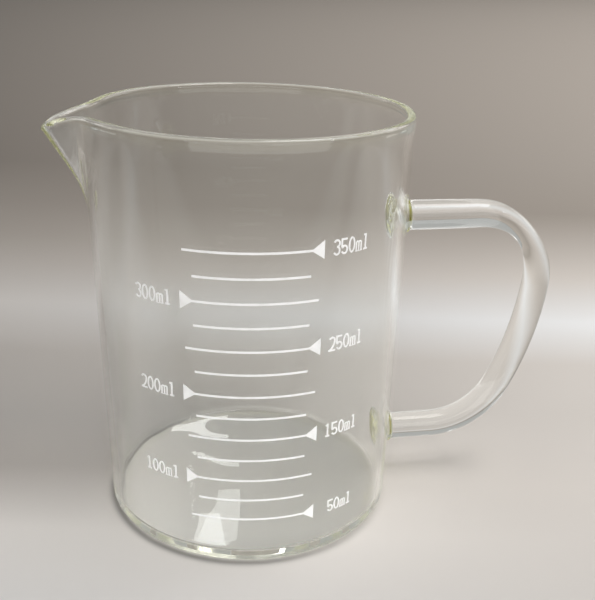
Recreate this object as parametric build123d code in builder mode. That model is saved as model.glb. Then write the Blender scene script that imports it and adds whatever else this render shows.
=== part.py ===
"""Graduated glass measuring beaker with a drawn pouring spout and a fused rod handle.

Frame: +Z up, origin at the centre of the flat base, handle towards +X, spout towards -X,
printed scale on the -Y side. All sizes in millimetres, angles in degrees.
"""

import os
from math import acos, atan2, cos, degrees, pi, radians, sin, sqrt, tan

from build123d import *

os.makedirs("parts", exist_ok=True)

# ---- vessel ------------------------------------------------------------------------------
body_diameter = 78.5
wall_thickness = 1.8
body_height = 105.0
floor_thickness = 2.5
foot_radius = 2.6  # rounding of the foot, outside
floor_corner_radius = 1.6  # rounding where the wall meets the floor, inside

# ---- spout -------------------------------------------------------------------------------
spout_depth = 25.6  # from the rim down to where the wall begins to swell
spout_keel_radius = 22.0  # the curve that leads out of the wall
spout_lean = 31.0  # lean of the straight part of the keel, from upright
spout_nose_radius = 3.4  # rounding of the spout in plan, outside
spout_flank_radius = 14.0  # hollow of each flank in plan, outside, between the wall and the nose
spout_droop = 4.0  # how far the tip hangs below the rim
flank_bite = 0.1  # how far inside the wall the flanks start, so that they cross it cleanly
lip_overrun = 8.0  # how much further the lip's cut bends, past the tip
cut_margin = 1.0  # how far blanks and cuts reach past the rim

# ---- handle ------------------------------------------------------------------------------
rod_diameter = 7.7
upper_arm_drop = 27.2  # from the rim down to the upper arm's middle
lower_arm_height = 14.8
arm_length = 21.5  # straight part of the upper arm, from the wall
upper_bend_radius = 19.2
lower_bend_radius = 21.2
grip_start_heading = 93.0  # how far the rod has turned where the grip starts
grip_end_heading = 113.0  # how far it has turned where the grip ends

# ---- fused joints ------------------------------------------------------------------------
weld_length = 2.2  # from the wall to where the plain rod starts
weld_ring_swell = 0.75  # how far the ring of squeezed-out glass stands out from the rod
weld_ring_start = 0.9  # from the wall to the ring's crest
weld_ring_end = 1.4  # from the wall to where the ring falls away to the rod
weld_foot_spread = 2.05  # how far past the rod the joint flows out onto the wall
weld_bite = 1.0  # how deep the blank reaches past the wall before it is cut back

# ---- printed scale -----------------------------------------------------------------------
enamel_thickness = 0.1
scale_turn = -6.5  # the print sits this far round from square, towards the spout
scale_bottom = 50  # ml
scale_step = 25
scale_top = 350
line_width = 0.5
minor_half_length = 13.0
major_half_length = 15.1
pointer_tip = 12.9  # from the middle of the scale
pointer_length = 3.1
pointer_height = 4.2
pointer_overlap = 0.5  # how far the line runs into its pointer
print_depth = 6.0  # how far behind its tangent plane a print is cut to shape
label_reach = 28.1  # outer end of the numbers, from the middle of the scale
letter_pitch = 2.02
letter_width = 1.84
letter_height = 3.6
letter_stroke = 0.42
small_letter_height = 2.4
small_letter_stroke = 0.34

# ---- sizes that follow from these --------------------------------------------------------
body_radius = body_diameter / 2
bore_radius = body_radius - wall_thickness
bore_nose_radius = spout_nose_radius - wall_thickness
bore_flank_radius = spout_flank_radius + wall_thickness
spout_start = body_height - spout_depth
rod_radius = rod_diameter / 2
upper_arm_height = body_height - upper_arm_drop
weld_ring_radius = rod_radius + weld_ring_swell
weld_foot_radius = rod_radius + weld_foot_spread
keel_rise = spout_keel_radius * sin(radians(spout_lean))


def level(millilitres):
    """Height above the base that a volume of liquid reaches."""
    corner = floor_corner_radius
    kept_out = (1 - pi / 4) * corner**2 * 2 * pi * (bore_radius - 0.22 * corner)
    return floor_thickness + (millilitres * 1000 + kept_out) / (pi * bore_radius**2)


def swell(height):
    """How far the spout's keel stands out from the wall at a height."""
    rise = height - spout_start
    if rise < keel_rise:
        return spout_keel_radius - sqrt(spout_keel_radius**2 - rise**2)
    curve = spout_keel_radius * (1 - cos(radians(spout_lean)))
    return curve + (rise - keel_rise) * tan(radians(spout_lean))


def flank_centre(radius, nose, flank, stand):
    """Middle of the hollow arc of a flank, which touches the round wall and the nose from outside."""
    reach = radius - nose + stand
    to_wall, to_nose = radius - flank_bite + flank, nose + flank
    along = (to_wall**2 - to_nose**2 + reach**2) / (2 * reach)
    return along, sqrt(to_wall**2 - along**2)


def spout_plan(radius, nose, flank, stand):
    """Plan of the spout at one height: two hollow flanks that leave the round wall and meet at the nose."""
    reach = radius - nose + stand
    along, across = flank_centre(radius, nose, flank, stand)
    wall = radius - flank_bite
    side = (-along * wall / (wall + flank), across * wall / (wall + flank))
    turn = atan2(across, along - reach)
    nose_end = (-reach - nose * cos(turn), nose * sin(turn))
    inward = (atan2(across, along) + turn) / 2
    middle = (-along + flank * cos(inward), across - flank * sin(inward))
    Line((0, 0), side)
    ThreePointArc(side, middle, nose_end)
    ThreePointArc(nose_end, (-reach - nose, 0), (nose_end[0], -nose_end[1]))
    ThreePointArc((nose_end[0], -nose_end[1]), (middle[0], -middle[1]), (side[0], -side[1]))
    Line((side[0], -side[1]), (0, 0))


tip_radius = body_radius + swell(body_height - spout_droop)
lip_turn_start = degrees(acos((body_radius - spout_nose_radius) / (tip_radius - spout_nose_radius)))
lip_start = -body_radius * cos(radians(lip_turn_start))
lip_run = tip_radius + lip_start
lip_radius = (lip_run**2 + spout_droop**2) / (2 * spout_droop)
lip_turn = degrees(2 * atan2(spout_droop, lip_run)) + lip_overrun
keel_heights = [spout_start + part * keel_rise for part in (0.35, 0.7, 1.0)]
keel_heights.append((spout_start + keel_rise + body_height) / 2)
keel_heights.append(body_height + cut_margin)

with BuildPart() as hollow:
    with BuildSketch(Plane.XZ):
        with Locations((0, floor_thickness)):
            Rectangle(bore_radius, body_height + cut_margin - floor_thickness, align=Align.MIN)
        fillet(vertices().sort_by(Axis.Y)[:2].sort_by(Axis.X)[-1], floor_corner_radius)
    revolve(axis=Axis.Z)
    with BuildSketch(Plane.XY.offset(spout_start)):
        with BuildLine():
            spout_plan(bore_radius, bore_nose_radius, bore_flank_radius, -flank_bite / 2)
        make_face()
    for height in keel_heights:
        with BuildSketch(Plane.XY.offset(height)):
            with BuildLine():
                spout_plan(bore_radius, bore_nose_radius, bore_flank_radius, swell(height))
            make_face()
    loft()

with BuildPart() as vessel:
    with BuildSketch(Plane.XZ):
        Rectangle(body_radius, body_height + cut_margin, align=Align.MIN)
        fillet(vertices().sort_by(Axis.Y)[:2].sort_by(Axis.X)[-1], foot_radius)
    revolve(axis=Axis.Z)
    with BuildSketch(Plane.XY.offset(spout_start)):
        with BuildLine():
            spout_plan(body_radius, spout_nose_radius, spout_flank_radius, -flank_bite / 2)
        make_face()
    for height in keel_heights:
        with BuildSketch(Plane.XY.offset(height)):
            with BuildLine():
                spout_plan(body_radius, spout_nose_radius, spout_flank_radius, swell(height))
            make_face()
    loft()
    add(hollow.part, mode=Mode.SUBTRACT)
    with BuildSketch(Plane.XZ):
        with BuildLine():
            lip = Line((body_diameter, body_height), (lip_start, body_height))
            droop = JernArc(lip @ 1, lip % 1, -lip_radius, lip_turn)
            cut_top = body_height + 2 * cut_margin
            Polyline(droop @ 1, ((droop @ 1).X, cut_top), (body_diameter, cut_top), lip @ 0)
        make_face()
    extrude(amount=body_diameter, both=True, mode=Mode.SUBTRACT)

vessel.part.label = "vessel"
export_step(vessel.part, "parts/vessel.step")

# ---- handle ------------------------------------------------------------------------------


def bend_point(centre, radius, heading):
    """Point of a bend about a centre, where the rod has turned down by a heading from +X."""
    return (centre[0] + radius * sin(radians(heading)), centre[1] + radius * cos(radians(heading)))


start_turn = cos(radians(grip_start_heading))
end_turn = cos(radians(grip_end_heading))
drop_left = upper_arm_height - lower_arm_height
drop_left -= upper_bend_radius * (1 - start_turn) + lower_bend_radius * (1 + end_turn)
grip_radius = drop_left / (start_turn - end_turn)

bend_start = body_radius + arm_length
upper_centre = (bend_start, upper_arm_height - upper_bend_radius)
grip_start = bend_point(upper_centre, upper_bend_radius, grip_start_heading)
grip_centre = bend_point(grip_start, -grip_radius, grip_start_heading)
grip_middle = bend_point(grip_centre, grip_radius, (grip_start_heading + grip_end_heading) / 2)
grip_end = bend_point(grip_centre, grip_radius, grip_end_heading)
lower_centre = bend_point(grip_end, -lower_bend_radius, grip_end_heading)
lower_middle = bend_point(lower_centre, lower_bend_radius, (grip_end_heading + 180) / 2)
lower_end = bend_point(lower_centre, lower_bend_radius, 180)
upper_middle = bend_point(upper_centre, upper_bend_radius, grip_start_heading / 2)
rod_start = body_radius + weld_length

with BuildPart() as handle:
    with BuildLine(Plane.XZ) as rod_line:
        Line((rod_start, upper_arm_height), (bend_start, upper_arm_height))
        ThreePointArc((bend_start, upper_arm_height), upper_middle, grip_start)
        ThreePointArc(grip_start, grip_middle, grip_end)
        ThreePointArc(grip_end, lower_middle, lower_end)
        Line(lower_end, (rod_start, lower_arm_height))
    with BuildSketch(Plane.YZ.offset(rod_start)):
        with Locations((0, upper_arm_height)):
            Circle(rod_radius)
    sweep()
handle.part.label = "handle"
export_step(handle.part, "parts/handle.step")

# ---- fused joints ------------------------------------------------------------------------

for name, arm_height in (("upper_handle_weld", upper_arm_height), ("lower_handle_weld", lower_arm_height)):
    with BuildPart() as weld:
        with BuildSketch(Plane.XZ):
            with BuildLine():
                foot = (body_radius, arm_height + weld_foot_radius)
                ring = (body_radius + weld_ring_start, arm_height + weld_ring_radius)
                crown = (body_radius + weld_ring_end, arm_height + weld_ring_radius)
                neck = (rod_start, arm_height + rod_radius)
                Polyline((body_radius - weld_bite, arm_height), (body_radius - weld_bite, foot[1]), foot)
                RadiusArc(foot, ring, -weld_length)
                Line(ring, crown)
                RadiusArc(crown, neck, weld_length / 2)
                Polyline(neck, (rod_start, arm_height), (body_radius - weld_bite, arm_height))
            make_face()
        revolve(axis=Axis((0, 0, arm_height), (1, 0, 0)))
        Cylinder(body_radius, body_height, align=(Align.CENTER, Align.CENTER, Align.MIN), mode=Mode.SUBTRACT)
    weld.part.label = name
    export_step(weld.part, f"parts/{name}.step")

# ---- printed scale -----------------------------------------------------------------------


def print_plane(offset, height):
    """Plane that touches the print's face, at a distance round the wall from the middle of the scale."""
    turn = radians(-90 + scale_turn + degrees(offset / body_radius))
    out = Vector(cos(turn), sin(turn))
    origin = out * (body_radius + enamel_thickness) + Vector(0, 0, height)
    return Plane(origin=origin, x_dir=(-out.Y, out.X, 0), z_dir=out)


def across(offset):
    """Where a point at a distance round the wall lies across the plane at the middle of the scale."""
    return body_radius * sin(offset / body_radius)


for volume in range(scale_bottom, scale_top + 1, scale_step):
    with BuildPart() as graduation:
        with BuildSketch(print_plane(0, level(volume))):
            ends = (-minor_half_length, minor_half_length)
            if volume % 50 == 0:
                side = -1 if volume % 100 == 0 else 1
                ends = (-side * major_half_length, side * (pointer_tip + pointer_overlap))
                tip = (across(side * pointer_tip), 0)
                base = across(side * (pointer_tip + pointer_length))
                with BuildLine():
                    Polyline(tip, (base, pointer_height / 2), (base, -pointer_height / 2), close=True)
                make_face()
            with Locations(((across(ends[0]) + across(ends[1])) / 2, 0)):
                Rectangle(abs(across(ends[1]) - across(ends[0])), line_width)
        extrude(amount=-print_depth)
        Cylinder(body_radius + enamel_thickness, 2 * body_height, mode=Mode.INTERSECT)
        Cylinder(body_radius, 2 * body_height, mode=Mode.SUBTRACT)
    graduation.part.label = f"graduation_{volume:03}ml"
    export_step(graduation.part, f"parts/{graduation.part.label}.step")

# ---- numbers -----------------------------------------------------------------------------
# Each letter is drawn about the middle of its foot, along the middle of its strokes.

half = (letter_width - letter_stroke) / 2  # from the middle to the outer strokes
foot = letter_stroke / 2
head = letter_height - foot
waist = letter_height * 0.53
small_foot = small_letter_stroke / 2
small_head = small_letter_height - small_foot
serif = 0.28  # how far a foot or a flag stands out from its stem
bowl_end = 155  # where the open end of a bowl stops, round from its right

with BuildSketch() as zero:
    with Locations((0, letter_height / 2)):
        Ellipse(half + foot, letter_height / 2)
        Ellipse(half - foot, letter_height / 2 - letter_stroke, mode=Mode.SUBTRACT)

with BuildSketch() as one:
    with BuildLine():
        Line((0, 0), (0, letter_height))
    trace(line_width=letter_stroke)
    with BuildLine():
        Line((-2 * serif, foot), (2 * serif, foot))
        Line((-2 * serif, head - serif), (0, head - foot / 2))
    trace(line_width=letter_stroke)

with BuildSketch() as two:
    with BuildLine():
        bend = CenterArc((0, head - half), half, bowl_end, -bowl_end)
        TangentArc(bend @ 1, (-half, foot), tangent=bend % 1)
    trace(line_width=letter_stroke)
    with BuildLine():
        Line((-half - foot, foot), (half + foot, foot))
    trace(line_width=letter_stroke)

with BuildSketch() as three:
    for low, high, start in ((waist, head, -90), (foot, waist, -bowl_end)):
        with BuildLine():
            middle = (0, (low + high) / 2)
            EllipticalCenterArc(middle, half, (high - low) / 2, start, arc_size=90 + bowl_end)
        trace(line_width=letter_stroke)

with BuildSketch() as five:
    with BuildLine():
        Line((half, head), (-half - foot, head))
        Line((-half, head), (-half, waist - serif))
    trace(line_width=letter_stroke)
    with BuildLine():
        middle = (0, (foot + waist) / 2)
        EllipticalCenterArc(middle, half, (waist - foot) / 2, -bowl_end, arc_size=2 * bowl_end)
    trace(line_width=letter_stroke)

with BuildSketch() as small_m:
    for stem in (-half, 0, half):
        with Locations((stem, 0)):
            Rectangle(small_letter_stroke, small_head - serif / 2, align=(Align.CENTER, Align.MIN))
            Rectangle(2 * serif, small_foot, align=(Align.CENTER, Align.MIN))
    for stem in (-half, 0):
        with BuildLine():
            far_side = (stem + half, small_head - serif)
            ThreePointArc((stem, small_head - serif), (stem + half / 2, small_head), far_side)
        trace(line_width=small_letter_stroke)

with BuildSketch() as small_l:
    with BuildLine():
        Line((0, 0), (0, letter_height))
    trace(line_width=letter_stroke)
    with BuildLine():
        Line((-2 * serif, foot), (2 * serif, foot))
        Line((-2 * serif, head), (0, head))
    trace(line_width=letter_stroke)

letters = {"0": zero, "1": one, "2": two, "3": three, "5": five, "m": small_m, "l": small_l}

for volume in range(scale_bottom, scale_top + 1, 50):
    text = f"{volume}ml"
    side = -1 if volume % 100 == 0 else 1
    label_middle = side * (label_reach - len(text) * letter_pitch / 2)
    with BuildPart() as label:
        with BuildSketch(print_plane(label_middle, level(volume))):
            for place, letter in enumerate(text):
                spot = (place - (len(text) - 1) / 2) * letter_pitch
                with Locations((spot, -letter_height / 2)):
                    add(letters[letter].sketch)
        extrude(amount=-print_depth)
        Cylinder(body_radius + enamel_thickness, 2 * body_height, mode=Mode.INTERSECT)
        Cylinder(body_radius, 2 * body_height, mode=Mode.SUBTRACT)
    label.part.label = f"label_{volume:03}ml"
    export_step(label.part, f"parts/{label.part.label}.step")
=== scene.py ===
"""Looks of the graduated glass beaker: a clear vessel with a spout, a fused rod handle, a white scale.

Metres, +Z up, handle towards +X, spout towards -X, printed scale on the -Y side.
"""

import math

import bpy
from mathutils import Matrix, Vector, noise


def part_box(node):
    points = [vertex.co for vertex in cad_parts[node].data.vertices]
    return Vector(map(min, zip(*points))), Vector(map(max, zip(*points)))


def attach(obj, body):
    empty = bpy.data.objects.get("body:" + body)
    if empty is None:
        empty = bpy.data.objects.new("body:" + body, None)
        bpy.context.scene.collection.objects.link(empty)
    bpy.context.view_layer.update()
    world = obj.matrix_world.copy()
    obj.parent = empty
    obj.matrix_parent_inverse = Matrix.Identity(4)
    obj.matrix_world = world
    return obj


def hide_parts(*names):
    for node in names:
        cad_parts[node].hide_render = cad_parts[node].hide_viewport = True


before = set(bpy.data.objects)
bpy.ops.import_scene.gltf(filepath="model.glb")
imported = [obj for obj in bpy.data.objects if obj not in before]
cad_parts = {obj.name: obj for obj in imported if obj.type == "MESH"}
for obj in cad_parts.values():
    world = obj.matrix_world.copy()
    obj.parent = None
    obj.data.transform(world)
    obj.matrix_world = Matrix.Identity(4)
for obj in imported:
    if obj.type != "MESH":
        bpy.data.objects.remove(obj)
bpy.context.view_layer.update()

MM = 0.001

# ---- sizes read from the frame -----------------------------------------------------------
_, vessel_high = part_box("vessel")
handle_low, handle_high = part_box("handle")
weld_low, weld_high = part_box("upper_handle_weld")

body_radius = vessel_high.x
body_height = vessel_high.z
rod_radius = (handle_high.y - handle_low.y) / 2
upper_arm_height = handle_high.z - rod_radius
lower_arm_height = handle_low.z + rod_radius
rod_start = handle_low.x
weld_foot_radius = (weld_high.z - weld_low.z) / 2

# ---- vessel ------------------------------------------------------------------------------
wall_thickness = 1.8 * MM
floor_thickness = 2.5 * MM
foot_radius = 2.6 * MM
floor_corner_radius = 1.6 * MM
base_push_up = 0.45 * MM  # the middle of the base is pressed up a little
inside_push_up = 0.25 * base_push_up  # how much of that shows inside
dimple_depth = 0.16 * MM  # soft dimples that the mould leaves in the inside of the base
bead_radius = 1.08 * MM  # the fire-polished rim is a little thicker than the wall
bead_proud = 0.04 * MM  # how far the bead stands out past the wall, outside
bead_least_width = 0.98 * 2 * bead_radius
outside_bead_blend = 0.9 * MM  # height over which the bead grows out of the wall
inside_bead_blend = 1.3 * MM
wall_wave_depth = 0.07 * MM  # of the long waves that drawing leaves inside the wall
wall_ripple_depth = 0.02 * MM  # of the finer waves among them
wave_start = 8 * MM  # height above the base over which the waves set in

# ---- spout -------------------------------------------------------------------------------
spout_start = body_height - 25.6 * MM
spout_keel_radius = 22.0 * MM
spout_lean = math.radians(31)
spout_nose_radius = 3.4 * MM
spout_flank_radius = 14.0 * MM  # hollow of each flank in plan
spout_droop = 4.0 * MM
spout_ease = math.radians(4.5)  # turn over which a flank is eased into the round wall
spout_ease_start = math.radians(12)  # turn from the keel at which the easing is full
spout_run_in = 1.4 * MM  # the finer rows of the spout start this far below it

# ---- handle ------------------------------------------------------------------------------
arm_length = 21.5 * MM
upper_bend_radius = 19.2 * MM
lower_bend_radius = 21.2 * MM
grip_start_heading = math.radians(93)
grip_end_heading = math.radians(113)
bend_thinning = 0.29  # how much thinner the rod is where it is stretched round the upper bend
thin_place = 36.9 * MM  # along the rod, from the wall
thin_spread = 10.6 * MM
rod_width_share = 0.985  # the visual rod is this share of the full diameter across
rod_height_share = 0.99
rod_unevenness = 0.012

# ---- welds -------------------------------------------------------------------------------
weld_rows_reach = 6.4 * MM  # the wall's rows are closer together this near the arms
joint_share = 0.93  # share of a weld's foot under which the wall carries the joint finish
weld_unevenness = 0.035


# ==== meshes ==============================================================================


def make_mesh(name, points, faces, materials, face_slots=None):
    """A smooth-shaded mesh object from points, faces and the material slot of each face."""
    mesh = bpy.data.meshes.new(name)
    mesh.from_pydata(points, [], faces)
    for material in materials:
        mesh.materials.append(material)
    mesh.polygons.foreach_set("use_smooth", [True] * len(faces))
    if face_slots:
        mesh.polygons.foreach_set("material_index", face_slots)
    mesh.update()
    piece = bpy.data.objects.new(name, mesh)
    bpy.context.scene.collection.objects.link(piece)
    return piece


def skin_rings(rings, first_tip, last_tip):
    """Points and outward faces of a closed body made of equal rings, closed by a point at each end."""
    count = len(rings[0])
    points = [first_tip] + [p for ring in rings for p in ring] + [last_tip]
    last = len(points) - 1
    faces = []
    for i in range(count):
        faces.append((0, 1 + (i + 1) % count, 1 + i))
    for row in range(len(rings) - 1):
        low, high = 1 + row * count, 1 + (row + 1) * count
        for i in range(count):
            j = (i + 1) % count
            faces.append((low + i, low + j, high + j, high + i))
    top = 1 + (len(rings) - 1) * count
    for i in range(count):
        faces.append((top + i, top + (i + 1) % count, last))
    volume = sum(points[f[0]].dot(points[f[1]].cross(points[f[2]])) for f in faces if len(f) == 3)
    volume += sum(
        points[f[0]].dot(points[f[1]].cross(points[f[2]]) + points[f[2]].cross(points[f[3]]))
        for f in faces
        if len(f) == 4
    )
    if volume < 0:
        faces = [face[::-1] for face in faces]
    return points, faces


def spread(start, end, steps, include_end=True):
    """Evenly spaced values from start to end."""
    return [start + (end - start) * i / steps for i in range(steps + (1 if include_end else 0))]


# ---- vessel ------------------------------------------------------------------------------


def swell(height):
    """How far the spout's keel stands out from the wall at a height."""
    rise = height - spout_start
    if rise <= 0:
        return 0
    keel_rise = spout_keel_radius * math.sin(spout_lean)
    if rise < keel_rise:
        return spout_keel_radius - math.sqrt(spout_keel_radius**2 - rise**2)
    curve = spout_keel_radius * (1 - math.cos(spout_lean))
    return curve + (rise - keel_rise) * math.tan(spout_lean)


def outline(turn, height, inset):
    """Distance from the axis to the wall at a turn from the spout, for a surface set in by an inset."""
    radius = body_radius - inset
    nose = spout_nose_radius - inset
    flank = spout_flank_radius + inset
    stand = swell(height)
    if stand <= 0:
        return radius
    reach = radius - nose + stand
    along = ((radius + flank) ** 2 - (nose + flank) ** 2 + reach**2) / (2 * reach)
    across = math.sqrt(max((radius + flank) ** 2 - along**2, 0))
    wall_turn = math.atan2(across, along)
    side = math.atan2(across, along - reach)
    nose_turn = math.atan2(nose * math.sin(side), reach + nose * math.cos(side))
    turn = abs(turn)
    if turn >= wall_turn:
        return radius
    if turn > nose_turn:
        middle = along * math.cos(turn) + across * math.sin(turn)
        return middle - math.sqrt(max(flank**2 - along**2 - across**2 + middle**2, 0))
    return reach * math.cos(turn) + math.sqrt(nose**2 - (reach * math.sin(turn)) ** 2)


def soft_outline(turn, height, inset):
    """The outline with its flanks eased into the round wall, as drawn glass does."""
    ease = spout_ease * min(1, abs(turn) / spout_ease_start)
    if swell(height) <= 0:
        return body_radius - inset
    steps = (-1, -0.6, -0.2, 0.2, 0.6, 1)
    return sum(outline(turn + ease * step, height, inset) for step in steps) / len(steps)


tip_height = body_height - spout_droop
tip_radius = body_radius + swell(tip_height)
lip_start = body_radius * (body_radius - spout_nose_radius) / (tip_radius - spout_nose_radius)
lip_radius = ((tip_radius - lip_start) ** 2 + spout_droop**2) / (2 * spout_droop)


def rim_height(turn):
    """Height of the rim at a turn from the spout: level all round, and drooping to the spout's tip."""
    height = body_height
    for _ in range(12):
        run = outline(turn, height, wall_thickness / 2) * math.cos(turn) - lip_start
        drop = lip_radius - math.sqrt(max(lip_radius**2 - max(run, 0) ** 2, 0))
        height = body_height - drop
    return height


def on_turn(turn, distance, height):
    """Point at a turn from the spout, a distance from the axis and a height."""
    return Vector((-distance * math.cos(turn), distance * math.sin(turn), height))


def drawn_waves(turn, height):
    """The faint waves that drawing leaves in the wall: long up the wall, short round it."""
    place = Vector((math.cos(turn) * 2.2, math.sin(turn) * 2.2, height * 14 + 7.3))
    fine = Vector((math.cos(turn) * 7, math.sin(turn) * 7, height * 9 + 3.1))
    return wall_wave_depth * noise.noise(place) + wall_ripple_depth * noise.noise(fine)


def base_dimple(turn, share):
    """Height of the soft dimples that the mould leaves in the inside of the base."""
    place = Vector((math.cos(turn) * share * 1.9 + 4.2, math.sin(turn) * share * 1.9, 2.7))
    return dimple_depth * noise.noise(place) * (1 - share**6)


# heights of the rows of the plain wall, closer together where the handle is fused on
wall_heights = [foot_radius]
for top, rows in (
    (lower_arm_height - weld_rows_reach, 3),
    (lower_arm_height + weld_rows_reach, 22),
    (upper_arm_height - weld_rows_reach, 24),
    (spout_start - spout_run_in, 11),
):
    wall_heights += spread(wall_heights[-1], top, rows)[1:]
wall_heights = wall_heights[1:]


def vessel_profile(turn):
    """Section of the vessel at a turn: from the base's middle out, up, over the rim and down inside."""
    section = []
    foot_centre = body_radius - foot_radius
    for share in spread(0.06, 1, 22):
        distance = foot_centre * share
        section.append((distance, base_push_up * (1 - share**2) ** 2))
    for angle in spread(0, math.pi / 2, 9)[1:]:
        distance = foot_centre + foot_radius * math.sin(angle)
        section.append((distance, foot_radius * (1 - math.cos(angle))))
    rim = rim_height(turn)
    bead_height = rim - bead_radius
    heights = wall_heights + spread(wall_heights[-1], bead_height, 40)[1:]
    for height in heights:
        flare = math.exp((height - bead_height) / outside_bead_blend) * bead_proud
        section.append((soft_outline(turn, height, 0) + flare, height))
    outer = soft_outline(turn, bead_height, 0) + bead_proud
    rim_bore = soft_outline(turn, bead_height, wall_thickness)
    inner = min(rim_bore + bead_proud + wall_thickness - 2 * bead_radius, outer - bead_least_width)
    middle, half = (outer + inner) / 2, (outer - inner) / 2
    for angle in spread(0, math.pi, 18)[1:-1]:
        section.append((middle + half * math.cos(angle), bead_height + bead_radius * math.sin(angle)))
    swollen = rim_bore - inner
    corner = floor_thickness + floor_corner_radius
    for height in reversed([corner] + heights):
        if height < corner:
            continue
        flare = math.exp((height - bead_height) / inside_bead_blend) * swollen
        wave = drawn_waves(turn, height) * min(1, (height - corner) / wave_start)
        section.append((soft_outline(turn, height, wall_thickness) - flare + wave, height))
    bore = body_radius - wall_thickness
    for angle in spread(0, math.pi / 2, 9)[1:]:
        distance = bore - floor_corner_radius * (1 - math.cos(angle))
        section.append((distance, corner - floor_corner_radius * math.sin(angle)))
    for share in reversed(spread(0.03, 1, 34, include_end=False)):
        distance = (bore - floor_corner_radius) * share
        height = floor_thickness + inside_push_up * (1 - share**2) ** 2
        section.append((distance, height + base_dimple(turn, share)))
    return section


def under_weld(corners):
    """Whether a face of the outer wall lies where an arm of the handle is fused on."""
    middle = sum(corners, Vector()) / len(corners)
    if middle.x < 0 or math.hypot(middle.x, middle.y) < body_radius - 0.3 * MM:
        return False
    reach = min(math.hypot(middle.y, middle.z - arm) for arm in (upper_arm_height, lower_arm_height))
    return reach < weld_foot_radius * joint_share


def make_vessel(material, joint_material):
    """The blown vessel: one closed skin, with the spout drawn out of the rim."""
    # degrees from the spout: keel, far flank, back, handle side, front with the scale, near flank
    turns = spread(-8, 8, 56)
    for end, steps in ((26, 36), (170.5, 74), (189.5, 26), (334, 110), (352, 36)):
        turns += spread(turns[-1], end, steps)[1:]
    turns = [math.radians(turn) for turn in turns[:-1]]
    sections = [vessel_profile((turn + math.pi) % (2 * math.pi) - math.pi) for turn in turns]
    rings = []
    for row in range(len(sections[0])):
        rings.append([on_turn(turn, *section[row]) for turn, section in zip(turns, sections)])
    first_tip = Vector((0, 0, base_push_up))
    last_tip = Vector((0, 0, floor_thickness + inside_push_up + base_dimple(0, 0)))
    points, faces = skin_rings(rings, first_tip, last_tip)
    slots = [1 if under_weld([points[i] for i in face]) else 0 for face in faces]
    return make_mesh("blown_vessel", points, faces, [material, joint_material], slots)


# ---- handle ------------------------------------------------------------------------------


def bend_point(centre, radius, heading):
    """Point of a bend about a centre, where the rod has turned down by a heading from +X."""
    return Vector((centre.x + radius * math.sin(heading), 0, centre.z + radius * math.cos(heading)))


def rod_line():
    """Points along the middle of the rod, each with the direction in which the rod runs there."""
    start_turn, end_turn = math.cos(grip_start_heading), math.cos(grip_end_heading)
    drop_left = upper_arm_height - lower_arm_height
    drop_left -= upper_bend_radius * (1 - start_turn) + lower_bend_radius * (1 + end_turn)
    grip_radius = drop_left / (start_turn - end_turn)
    bend_start = body_radius + arm_length
    upper_centre = Vector((bend_start, 0, upper_arm_height - upper_bend_radius))
    grip_start = bend_point(upper_centre, upper_bend_radius, grip_start_heading)
    grip_centre = bend_point(grip_start, -grip_radius, grip_start_heading)
    grip_end = bend_point(grip_centre, grip_radius, grip_end_heading)
    lower_centre = bend_point(grip_end, -lower_bend_radius, grip_end_heading)
    line = [(Vector((x, 0, upper_arm_height)), 0.0) for x in spread(rod_start, bend_start, 24, False)]
    bends = (
        (upper_centre, upper_bend_radius, 0, grip_start_heading, 48),
        (grip_centre, grip_radius, grip_start_heading, grip_end_heading, 36),
        (lower_centre, lower_bend_radius, grip_end_heading, math.pi, 36),
    )
    for centre, radius, start, end, steps in bends:
        for heading in spread(start, end, steps, False):
            line.append((bend_point(centre, radius, heading), heading))
    for x in spread(lower_centre.x, rod_start, 16):
        line.append((Vector((x, 0, lower_arm_height)), math.pi))
    return line


def make_handle(material, joint_material):
    """The solid rod handle, thinner where it is stretched round the upper bend."""
    sides = 96
    rings = []
    along = rod_start - body_radius
    before = None
    for place, heading in rod_line():
        if before is not None:
            along += (place - before).length
        before = place
        out = Vector((math.sin(heading), 0, math.cos(heading)))
        thin = bend_thinning * math.exp(-(((along - thin_place) / thin_spread) ** 2))
        wave = 1 + rod_unevenness * noise.noise(Vector((along * 90, 3.1, 0)))
        ring = []
        for side in range(sides):
            angle = 2 * math.pi * side / sides
            across = Vector((0, math.sin(angle), 0)) * rod_radius * min(1, rod_width_share * wave)
            height = rod_radius * (1 - thin) * rod_height_share * wave * math.cos(angle)
            ring.append(place + across + out * height)
        rings.append(ring)
    first_tip = Vector((rod_start, 0, upper_arm_height))
    last_tip = Vector((rod_start, 0, lower_arm_height))
    points, faces = skin_rings(rings, first_tip, last_tip)
    slots = [1 if 0 in face or len(points) - 1 in face else 0 for face in faces]
    return make_mesh("rod_handle", points, faces, [material, joint_material], slots)


# ---- fused joints ------------------------------------------------------------------------


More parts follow.
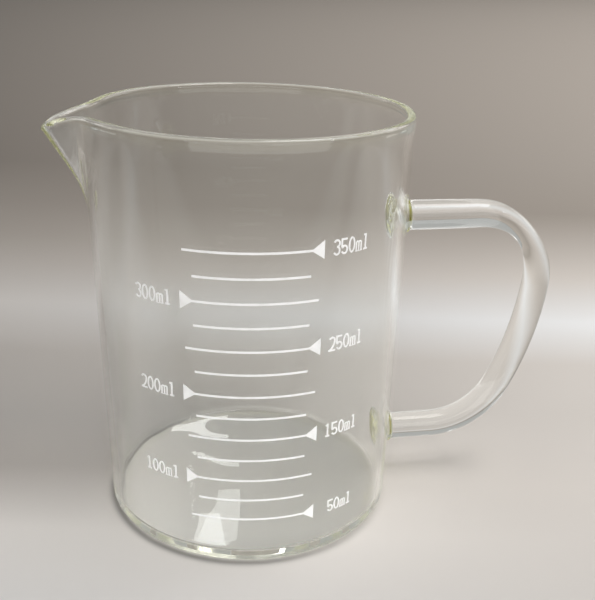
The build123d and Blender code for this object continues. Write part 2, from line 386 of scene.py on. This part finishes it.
def make_weld(name, arm_height, seed, material, joint_material):
    """The ring of glass squeezed out round the rod where it is fused to the wall."""
    sides = 96
    rod = rod_radius * rod_width_share
    # radius of the weld against the share of the way out: a spread foot, a waist and a second, finer ring
    profile = [(0.0, weld_foot_radius), (0.10, 5.25 * MM), (0.22, 4.75 * MM), (0.34, 4.6 * MM)]
    profile += [(0.46, 4.6 * MM), (0.56, 4.36 * MM), (0.66, 4.34 * MM), (0.76, 4.45 * MM)]
    profile += [(0.86, 4.33 * MM), (0.95, 4.02 * MM), (1.0, rod)]
    wall_rings = [(0.0, weld_foot_radius * share) for share in spread(0.12, 0.96, 7)]
    end_rings = [(1.0, rod * share) for share in (0.75, 0.5, 0.25)]
    rings = []
    for out_share, radius in wall_rings + profile + end_rings:
        ring = []
        for side in range(sides):
            angle = 2 * math.pi * side / sides
            lump_place = Vector((math.cos(angle) * 1.6, math.sin(angle) * 1.6, seed + out_share * 2))
            lump = noise.noise(lump_place)
            uneven = 1 + weld_unevenness * lump * math.sin(math.pi * out_share)
            y, z = radius * uneven * math.sin(angle), radius * uneven * math.cos(angle)
            wall = math.sqrt(body_radius**2 - y**2)
            x = wall * (1 - out_share) + rod_start * out_share
            ring.append(Vector((x, y, arm_height + z)))
        rings.append(ring)
    first_tip = Vector((body_radius, 0, arm_height))
    last_tip = Vector((rod_start, 0, arm_height))
    points, faces = skin_rings(rings, first_tip, last_tip)
    inner_faces = (len(wall_rings) + 1) * sides
    outer_faces = (len(end_rings) + 1) * sides
    slots = [1] * inner_faces + [0] * (len(faces) - inner_faces - outer_faces) + [1] * outer_faces
    return make_mesh(name, points, faces, [material, joint_material], slots)


# ==== materials ===========================================================================


class Value:
    """A shader socket that can be used in a Python expression; each operator adds its Math node."""

    def __init__(self, finish, socket):
        self.finish = finish
        self.socket = socket

    def maths(self, operation, *others, **settings):
        sockets = {i: other for i, other in enumerate((self, *others))}
        return self.finish.node("ShaderNodeMath", {"operation": operation, **settings}, sockets)

    def __add__(self, other):
        return self.maths("ADD", other)

    def __sub__(self, other):
        return self.maths("SUBTRACT", other)

    def __rsub__(self, other):
        return Value(self.finish, other).maths("SUBTRACT", self)

    def __mul__(self, other):
        return self.maths("MULTIPLY", other)

    def __truediv__(self, other):
        return self.maths("DIVIDE", other)

    def __rtruediv__(self, other):
        return Value(self.finish, other).maths("DIVIDE", self)

    __radd__ = __add__
    __rmul__ = __mul__


class Finish:
    """The nodes of a material or a world being built: node() adds any node and gives its output."""

    def __init__(self, owner):
        self.owner = owner
        self.owner.use_nodes = True
        self.tree = self.owner.node_tree
        self.tree.nodes.clear()

    def node(self, kind, settings=None, sockets=None, output=0):
        made = self.tree.nodes.new(kind)
        for name, setting in (settings or {}).items():
            if name == "stops":
                self.set_stops(made.color_ramp, setting)
            else:
                setattr(made, name, setting)
        for name, value in (sockets or {}).items():
            socket = made.inputs[name]
            value = value.socket if isinstance(value, Value) else value
            if isinstance(value, bpy.types.NodeSocket):
                self.tree.links.new(value, socket)
            else:
                socket.default_value = value
        return None if output is None else Value(self, made.outputs[output])

    def set_stops(self, ramp, stops):
        """Sets a ramp's stops from (place, colour) pairs."""
        while len(ramp.elements) < len(stops):
            ramp.elements.new(0.5)
        for element, (place, colour) in zip(ramp.elements, stops):
            element.position = place
            element.color = (*colour, 1)

    def place(self, output="Object"):
        return self.node("ShaderNodeTexCoord", output=output)

    def noise(self, place, scale, detail):
        return self.node("ShaderNodeTexNoise", None, {"Vector": place, "Scale": scale, "Detail": detail})

    def bump(self, strength, distance, height):
        sockets = {"Strength": strength, "Distance": distance, "Height": height}
        return self.node("ShaderNodeBump", None, sockets)

    def dot(self, place, direction):
        """How far a place lies along a direction."""
        sockets = {0: place, 1: direction}
        return self.node("ShaderNodeVectorMath", {"operation": "DOT_PRODUCT"}, sockets, output="Value")

    def surface(self, shader, volume=None, kind="ShaderNodeOutputMaterial"):
        sockets = {"Surface": shader}
        if volume is not None:
            sockets["Volume"] = volume
        self.node(kind, None, sockets, output=None)
        return self.owner


def linear(red, green, blue):
    """A colour given as it looks on a screen, from 0 to 255, as the linear colour that shaders use."""
    shares = (red / 255, green / 255, blue / 255)
    return tuple(s / 12.92 if s <= 0.04045 else ((s + 0.055) / 1.055) ** 2.4 for s in shares)


glass_index = 1.473
haze_roughness = 0.012
calm_height = 14 * MM  # below this the waves of the glass die out towards the thick foot


def glass(name, tint, wave_size, wave_depth, absorbed, density):
    """Clear borosilicate glass with the faint waves of flame work and a breath of handling haze.

    The tint is a colour, or ramp stops from the foot to the rim. The glass absorbs light as it goes deep,
    by a colour and a density per metre.
    """
    finish = Finish(bpy.data.materials.new(name))
    place = finish.place()
    height = finish.node("ShaderNodeSeparateXYZ", None, {"Vector": place}, output="Z")
    colour = (*tint, 1)
    if isinstance(tint[0], tuple):
        colour = finish.node("ShaderNodeValToRGB", {"stops": tint}, {"Fac": height / body_height})
    waves = finish.noise(place, 1 / wave_size, 1.0)
    haze = finish.noise(place, 55.0, 4.0)
    calm = (height / calm_height).maths("MINIMUM", 1.0)
    bump = finish.bump(1.0, wave_depth, waves * calm)
    shader = finish.node(
        "ShaderNodeBsdfPrincipled",
        None,
        {
            "Base Color": colour,
            "Roughness": haze * haze_roughness,
            "IOR": glass_index,
            "Transmission Weight": 1.0,
            "Normal": bump,
        },
    )
    depth = {"Color": (*absorbed, 1), "Density": density}
    volume = finish.node("ShaderNodeVolumeAbsorption", None, depth)
    return finish.surface(shader, volume)


def fused_joint():
    """The contact between two pieces that the flame made one: light passes straight through it."""
    finish = Finish(bpy.data.materials.new("fused_joint"))
    return finish.surface(finish.node("ShaderNodeBsdfTransparent", None, {"Color": (1, 1, 1, 1)}))


def enamel():
    """White enamel fired onto the glass: satin, with slightly uneven cover and pinholes."""
    finish = Finish(bpy.data.materials.new("white_enamel"))
    place = finish.place()
    cover = finish.noise(place, 420.0, 3.0)
    grain = finish.noise(place, 2600.0, 2.0)
    shade = finish.node(
        "ShaderNodeValToRGB",
        {"stops": ((0.25, (0.84, 0.84, 0.82)), (0.5, (0.93, 0.93, 0.92)), (0.8, (0.97, 0.97, 0.96)))},
        {"Fac": cover},
    )
    bump = finish.bump(0.3, 0.02 * MM, grain)
    shader = finish.node(
        "ShaderNodeBsdfPrincipled",
        None,
        {"Base Color": shade, "Roughness": cover * 0.3 + 0.25, "IOR": 1.5, "Normal": bump},
    )
    return finish.surface(shader)


# ==== stage ===============================================================================

camera_place = Vector((-26.07, -204.99, 138.57)) * MM
camera_heading = math.radians(10.379)  # from +Y towards +X
camera_dip = math.radians(28.52)
camera_roll = math.radians(1.516)
camera_lens = 50.206  # on a 36 mm long side
camera_shift = (0.01345, 0.1661)

stand_back = 0.2066  # from the camera's foot to the vessel's axis, along the heading


def paper():
    """The paper floor with painted light and shade: pale near the beaker, a painted bright band behind
    it, painted shade greyer further off and near the camera, and a painted contact shadow at the foot.
    """
    finish = Finish(bpy.data.materials.new("paper_floor_painted_light_and_shade"))
    parts = finish.place()
    across = finish.dot(parts, (math.cos(camera_heading), -math.sin(camera_heading), 0))
    ahead = finish.dot(parts, (math.sin(camera_heading), math.cos(camera_heading), 0))
    # painted light and shade: the floor's colour takes a bright band and greyer shade from the distance
    # and the side
    nearness = nearest_tone / (ahead + stand_back).maths("MAXIMUM", nearest_tone)
    left = finish.node("ShaderNodeValToRGB", {"stops": left_painted_light_stops}, {"Fac": nearness})
    right = finish.node("ShaderNodeValToRGB", {"stops": right_painted_light_stops}, {"Fac": nearness})
    side = across / (ahead.maths("MAXIMUM", 0.0) + side_distance)
    share = finish.node("ShaderNodeMapRange", {"interpolation_type": "LINEAR"}, {
        "Value": side, "From Min": -side_reach, "From Max": side_reach})
    tone = finish.node("ShaderNodeMix", {"data_type": "RGBA"}, {0: share, 6: left, 7: right}, output=2)

    # a painted contact shadow: a dark ring in the floor's colour round the foot, deepest on the side away
    # from the window
    level = finish.node("ShaderNodeVectorMath", {"operation": "MULTIPLY"}, {0: parts, 1: (1, 1, 0)})
    from_axis = finish.node("ShaderNodeVectorMath", {"operation": "LENGTH"}, {0: level}, output="Value")
    shaded = finish.dot(level, shadow_direction) / from_axis.maths("MAXIMUM", MM) * 0.6 + 0.5
    ring_place = (from_axis - shadow_ring_radius) / shadow_ring_width
    ring = (ring_place * ring_place * -1).maths("EXPONENT")
    shade = 1 - ring * shaded.maths("MAXIMUM", 0.0).maths("MINIMUM", 1.0) * shadow_ring_depth
    tone = finish.node("ShaderNodeVectorMath", {"operation": "SCALE"}, {0: tone, "Scale": shade})

    grain = finish.noise(parts, 900.0, 4.0)
    bump = finish.bump(0.15, 0.05 * MM, grain)
    shader = finish.node(
        "ShaderNodeBsdfPrincipled",
        None,
        {"Base Color": tone, "Roughness": grain * 0.1 + 0.75, "Specular IOR Level": 0.2, "Normal": bump},
    )
    return finish.surface(shader)


# a painted contact shadow: the narrow dark line where the foot meets the paper, painted deeper on the
# side away from the window
shadow_direction = (-0.87, -0.50, 0)
shadow_ring_radius = 38.9 * MM
shadow_ring_width = 1.3 * MM
shadow_ring_depth = 0.6

# the painted light and shade in the paper's colour run with the distance ahead of the camera's foot, on
# the left and on the right
nearest_tone = 0.07  # distance at which the tones end
side_distance = 0.35
side_reach = 0.30  # left or right of the middle, as a share of the distance, where one side's tones hold


def tones(*rows):
    """Ramp stops of the paper's painted light and shade, from (distance, level, warmth) rows, with the
    level from 0 to 255.
    """
    stops = []
    for distance, level, warmth in rows:
        tone = linear(level, level * (1 - warmth / 2), level * (1 - warmth))
        stops.append((nearest_tone / distance, tone))
    return tuple(stops)


left_painted_light_stops = tones(
    (2.30, 140, 0.10),
    (0.60, 125, 0.11),
    (0.43, 160, 0.09),
    (0.34, 200, 0.05),
    (0.29, 175, 0.06),
    (0.24, 160, 0.05),
    (0.21, 160, 0.07),
    (0.18, 215, 0.04),
    (0.135, 205, 0.00),
    (0.09, 125, 0.12),
)
right_painted_light_stops = tones(
    (2.30, 200, 0.10),
    (0.63, 180, 0.10),
    (0.495, 170, 0.11),
    (0.385, 225, 0.07),
    (0.33, 252, 0.00),
    (0.29, 225, 0.06),
    (0.25, 220, 0.06),
    (0.205, 225, 0.06),
    (0.135, 215, 0.04),
    (0.09, 125, 0.12),
)


def make_floor():
    """The paper floor: a wide flat sheet just under the foot."""
    reach, steps = 4.0, 40
    sides = spread(-1, 1, steps)
    points = [(reach * x * abs(x), reach * y * abs(y), -0.05 * MM) for y in sides for x in sides]
    count = len(sides)
    faces = []
    for row in range(steps):
        for column in range(steps):
            start = row * count + column
            faces.append((start, start + 1, start + count + 1, start + count))
    floor = make_mesh("floor", points, faces, [paper()])


def add_softbox(name, direction, distance, size, brightness, colour=(1, 1, 1)):
    """A rectangular softbox that faces the vessel from a direction, with the brightness of its face."""
    light = bpy.data.lights.new(name, "AREA")
    light.shape = "RECTANGLE"
    light.size, light.size_y = size
    light.energy = brightness * math.pi * size[0] * size[1]
    light.color = colour
    lamp = bpy.data.objects.new(name, light)
    bpy.context.scene.collection.objects.link(lamp)
    towards = Vector(direction).normalized()
    lamp.location = Vector((0, 0, body_height / 2)) + towards * distance
    lamp.rotation_mode = "QUATERNION"
    lamp.rotation_quaternion = towards.to_track_quat("Z", "Y")
    lamp.visible_camera = False


def add_room_light(colour, strength, seen_colour, seen_strength):
    """Even light from all round the stage, and the plain tone seen past the floor and in the glass."""
    finish = Finish(bpy.data.worlds.new("room"))
    light, seen = (
        finish.node("ShaderNodeBackground", None, {"Color": (*tone, 1), "Strength": level})
        for tone, level in ((colour, strength), (seen_colour, seen_strength))
    )
    by_camera = finish.node("ShaderNodeLightPath", output="Is Camera Ray")
    by_mirror = finish.node("ShaderNodeLightPath", output="Is Glossy Ray")
    through_glass = finish.node("ShaderNodeLightPath", output="Is Transmission Ray")
    is_seen = (by_camera + by_mirror + through_glass).maths("MINIMUM", 1.0)
    mixed = finish.node("ShaderNodeMixShader", None, {0: is_seen, 1: light, 2: seen})
    bpy.context.scene.world = finish.surface(mixed, kind="ShaderNodeOutputWorld")


def add_camera():
    """The camera, turned by a heading, a dip below level and a slight roll."""
    ahead = Vector((
        math.sin(camera_heading) * math.cos(camera_dip),
        math.cos(camera_heading) * math.cos(camera_dip),
        -math.sin(camera_dip),
    ))
    level = Vector((math.cos(camera_heading), -math.sin(camera_heading), 0))
    upright = level.cross(ahead)
    right = level * math.cos(camera_roll) + upright * math.sin(camera_roll)
    up = upright * math.cos(camera_roll) - level * math.sin(camera_roll)
    lens = bpy.data.cameras.new("camera")
    lens.lens = camera_lens
    lens.sensor_width = 36
    lens.shift_x, lens.shift_y = camera_shift
    lens.clip_start = 10 * MM
    camera = bpy.data.objects.new("camera", lens)
    bpy.context.scene.collection.objects.link(camera)
    turn = Matrix((right, up, -ahead)).transposed()
    camera.matrix_world = Matrix.Translation(camera_place) @ turn.to_4x4()
    bpy.context.scene.camera = camera


def trace_deeply():
    """Lets light cross the glass many times, so that the thick foot and the rim stay bright."""
    glass_bounces = 256
    tracer = bpy.context.scene.cycles
    tracer.max_bounces = glass_bounces
    tracer.transmission_bounces = glass_bounces
    tracer.glossy_bounces = glass_bounces
    tracer.diffuse_bounces = 5
    tracer.transparent_max_bounces = 64
    tracer.blur_glossy = 0.0


# ==== the beaker ==========================================================================

vessel_tint = (
    (0.965, (0.992, 1.0, 0.995)),
    (0.99, (0.985, 0.99, 0.93)),
)
vessel_glass = glass("vessel_glass", vessel_tint, 9 * MM, 0.02 * MM, (0.974, 0.974, 0.885), 10)
rod_glass = glass("rod_glass", (1.0, 1.0, 0.99), 6 * MM, 0.02 * MM, (0.974, 0.974, 0.885), 10)
weld_glass = glass("weld_glass", (0.99, 1.0, 0.93), 1.6 * MM, 0.05 * MM, (0.985, 0.985, 0.86), 12)
joint = fused_joint()

vessel = make_vessel(vessel_glass, joint)
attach(vessel, "root")
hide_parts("vessel")

handle = make_handle(rod_glass, joint)
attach(handle, "root")
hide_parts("handle")

for name, node, arm_height, seed in (
    ("upper_weld_ring", "upper_handle_weld", upper_arm_height, 1.3),
    ("lower_weld_ring", "lower_handle_weld", lower_arm_height, 5.9),
):
    weld = make_weld(name, arm_height, seed, weld_glass, joint)
    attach(weld, "root")
    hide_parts(node)

white = enamel()
for name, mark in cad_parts.items():
    if name.startswith(("graduation", "label")):
        mark.data.materials.clear()
        mark.data.materials.append(white)

make_floor()
add_room_light((1.0, 0.99, 0.97), 0.18, (0.97, 0.99, 0.97), 0.40)
add_softbox("overhead_softbox", (0.30, -0.06, 0.95), 4.0, (1.84, 1.84), 5.0, (1.0, 0.99, 0.98))
for step in range(4):  # panels in front of each other, so that the light fades towards their edges
    panel_size = (5.0 + 2.0 * step, 2.0 + 0.5 * step)
    add_softbox("front_softbox_" + str(step), (0.0, -0.92, 0.30), 5.0, panel_size, 1.58)
add_softbox("left_strip", (-0.80, 0.55, 0.28), 4.0, (2.2, 0.9), 1.6)
add_softbox("right_strip", (0.88, 0.40, 0.28), 4.0, (2.2, 0.9), 1.6)
add_softbox("right_window", (0.72, -0.52, 0.62), 4.4, (0.16, 0.5), 28)
add_softbox("back_window", (0.040, 0.783, 0.622), 4.4, (0.24, 0.28), 4.0)
add_softbox("far_window", (0.036, 0.869, 0.491), 4.4, (0.42, 0.08), 4.5)
trace_deeply()
add_camera()
bpy.context.scene.view_settings.view_transform = "Standard"
